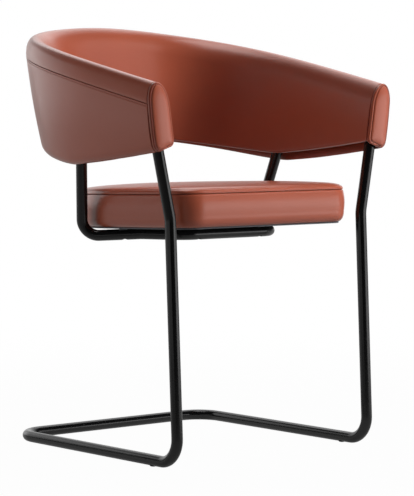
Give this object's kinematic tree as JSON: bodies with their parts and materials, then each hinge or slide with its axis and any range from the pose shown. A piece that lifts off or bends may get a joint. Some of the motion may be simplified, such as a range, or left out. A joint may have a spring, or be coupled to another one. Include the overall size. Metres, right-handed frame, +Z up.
{
  "type": "cantilever lounge chair",
  "caption": "Cantilever armchair: a leather tub back that runs into the arms, a round-backed leather seat and bent round steel tube with an open-fronted floor frame.",
  "frame": {"origin": "on the floor, under the middle of the chair's bounding box", "axes": "+Z up, +X towards the sitter's left, -Y the way the sitter faces"},
  "size_m": [0.573, 0.5318, 0.7723],
  "materials": {
    "black_tube": "black powder coat, satin",
    "bare_steel": "bare zinc-plated steel",
    "leather": "smooth terracotta leather with a soft sheen",
    "plywood": "sanded moulded plywood",
    "foam": "moulded polyurethane foam",
    "black_cloth": "black non-woven dust cloth",
    "black_nylon": "moulded black nylon"
  },
  "bodies": {
    "root": {"base_tube": "black_tube", "seat_tube": "black_tube", "arm_rail_left": "bare_steel", "arm_rail_right": "bare_steel", "front_spigot_left": "bare_steel", "front_spigot_right": "bare_steel", "rear_spigot_left": "bare_steel", "rear_spigot_right": "bare_steel", "floor_glide_front_left": "black_nylon", "floor_glide_front_right": "black_nylon", "floor_glide_rear_left": "black_nylon", "floor_glide_rear_right": "black_nylon", "rail_block_front_left": "plywood", "rail_block_front_right": "plywood", "rail_block_rear_left": "plywood", "rail_block_rear_right": "plywood", "back_plywood": "plywood", "back_foam": "foam", "back_liner": "black_cloth", "inner_cover": "leather", "outer_cover": "leather", "arm_pad_left": "leather", "arm_pad_right": "leather", "seat_underside_panel": "black_nylon", "seat_board": "plywood", "seat_dust_cloth": "black_cloth", "seat_foam": "foam", "seat_side_cover": "leather", "seat_top_cover": "leather", "block_screw_front_left_lower": "bare_steel", "block_screw_front_left_upper": "bare_steel", "block_screw_front_right_lower": "bare_steel", "block_screw_front_right_upper": "bare_steel", "block_screw_rear_left_lower": "bare_steel", "block_screw_rear_left_upper": "bare_steel", "block_screw_rear_right_lower": "bare_steel", "block_screw_rear_right_upper": "bare_steel", "seat_nut_rear_left": "bare_steel", "seat_nut_rear_right": "bare_steel", "seat_nut_front_left": "bare_steel", "seat_nut_front_right": "bare_steel", "seat_screw_rear_left": "bare_steel", "seat_screw_rear_right": "bare_steel", "seat_screw_front_left": "bare_steel", "seat_screw_front_right": "bare_steel", "seat_saddle_rear_left": "black_nylon", "seat_saddle_rear_right": "black_nylon", "seat_saddle_front_left": "black_nylon", "seat_saddle_front_right": "black_nylon"}
  },
  "joints": []
}
